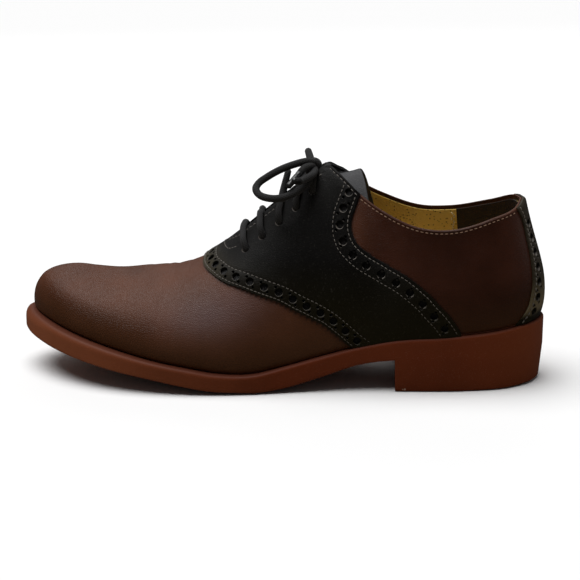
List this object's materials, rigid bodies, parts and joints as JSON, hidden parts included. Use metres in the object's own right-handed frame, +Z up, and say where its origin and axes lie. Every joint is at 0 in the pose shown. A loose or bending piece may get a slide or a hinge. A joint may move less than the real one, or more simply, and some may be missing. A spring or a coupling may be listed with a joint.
{
  "type": "saddle oxford shoe",
  "caption": "Left two-tone saddle oxford: hollow brown leather upper, black brogued saddle and backstay, moulded brick rubber sole with heel, round lace tied in a bow.",
  "frame": {"origin": "on the floor under the middle of the shoe's box, bow left out", "axes": "+X toward the heel, -Y toward the outer side of the foot, +Z up"},
  "size_m": [0.3052, 0.1016, 0.1295],
  "materials": {
    "brick_rubber": "satin moulded",
    "insole_leather": "smooth mustard",
    "brown_leather": "polished dark brown",
    "black_leather": "polished black",
    "black_backstay": "polished black",
    "tongue_leather": "soft black",
    "black_lace": "round waxed cord",
    "aglet_plastic": "gloss black"
  },
  "bodies": {
    "root": {"outsole": "brick_rubber", "insole": "insole_leather", "upper": "brown_leather", "saddle": "black_leather", "backstay": "black_backstay", "tongue": "tongue_leather", "lace_crossings": "black_lace", "lace_knot": "black_lace", "lace_loop_near": "black_lace", "lace_loop_far": "black_lace", "lace_end_near": "black_lace", "lace_end_far": "black_lace", "aglet_near": "aglet_plastic", "aglet_far": "aglet_plastic"}
  },
  "joints": []
}
